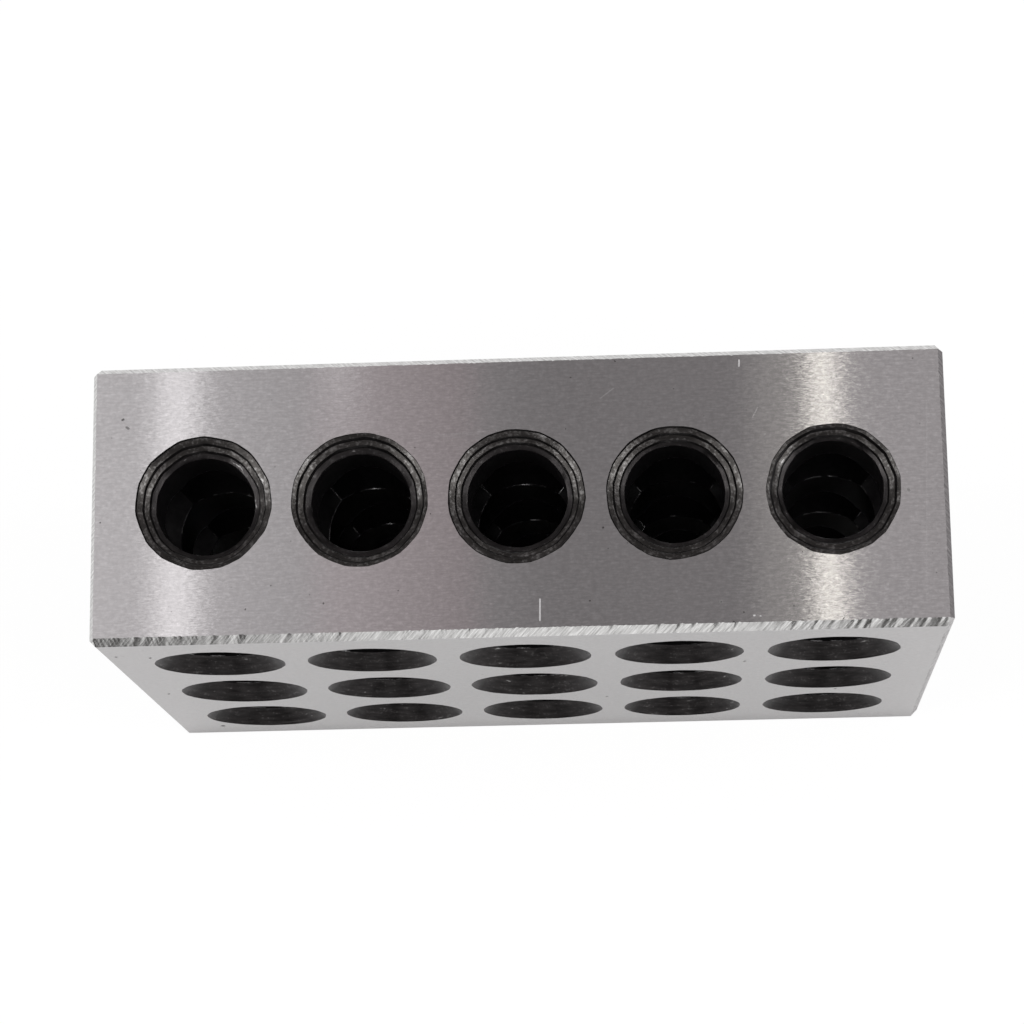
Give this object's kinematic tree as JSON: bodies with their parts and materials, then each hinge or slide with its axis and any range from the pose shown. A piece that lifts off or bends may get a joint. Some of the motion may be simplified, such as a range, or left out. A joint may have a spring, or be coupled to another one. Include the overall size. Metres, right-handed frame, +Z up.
{
  "type": "machinist setup block",
  "caption": "Hardened and ground steel setup block with a lattice of crossing countersunk through holes, for spacing, squaring and clamping work on a machine table.",
  "frame": {"origin": "centre of the narrow long face that the block stands on", "axes": "+X along the length, +Y through the thickness, +Z up along the height"},
  "size_m": [0.0762, 0.0254, 0.0508],
  "materials": {
    "ground_steel": "ground, with fine lengthwise grinding lines and dark scale left in the holes"
  },
  "bodies": {
    "root": {"setup_block": "ground_steel"}
  },
  "joints": []
}
